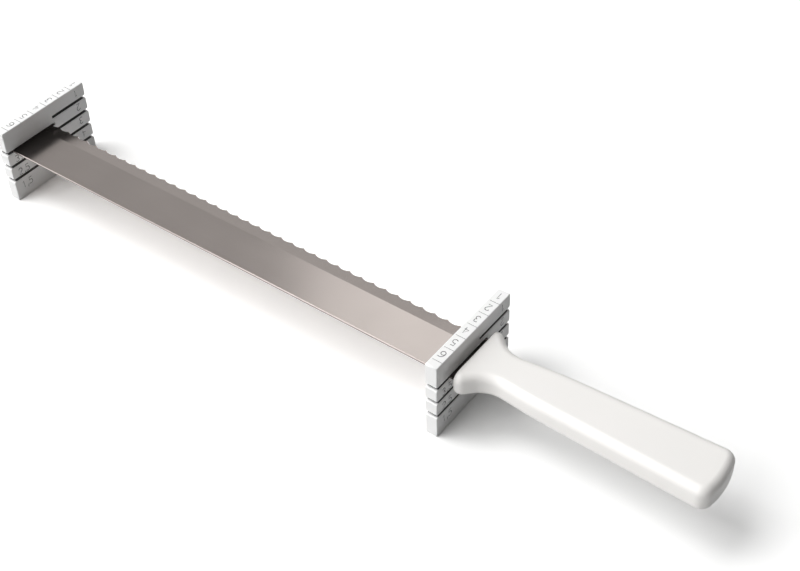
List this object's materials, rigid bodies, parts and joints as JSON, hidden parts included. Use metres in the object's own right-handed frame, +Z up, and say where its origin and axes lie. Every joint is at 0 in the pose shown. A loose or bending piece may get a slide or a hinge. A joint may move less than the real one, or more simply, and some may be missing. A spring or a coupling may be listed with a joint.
{
  "type": "cake leveler",
  "caption": "Long flat scalloped knife with a flared handle, lying level in the slots of two upright slotted guide plates that set the height of a cake cut.",
  "frame": {"origin": "on the table, under the middle of the whole object", "axes": "+X along the knife from its tip to its butt, +Y from the blade's plain spine to its scalloped edge, +Z up"},
  "size_m": [0.477, 0.0716, 0.05],
  "materials": {
    "blade_steel": "fine lengthwise ground stainless steel, finer across the ground edge",
    "handle_plastic": "warm white moulded plastic with a fine matte grain",
    "guide_plastic": "white satin plastic sheet with scribed centimetre lines and numbers"
  },
  "bodies": {
    "knife": {"blade": "blade_steel", "handle": "handle_plastic"},
    "near_guide": {"near_guide": "guide_plastic"},
    "far_guide": {"far_guide": "guide_plastic"}
  },
  "joints": [
    {"name": "near_guide_slide", "type": "slide", "parent": "knife", "child": "near_guide", "axis": [-1, 0, 0], "range_m": [-0.0038, 0.15]},
    {"name": "far_guide_slide", "type": "slide", "parent": "knife", "child": "far_guide", "axis": [1, 0, 0], "range_m": [-0.012, 0.15]}
  ]
}
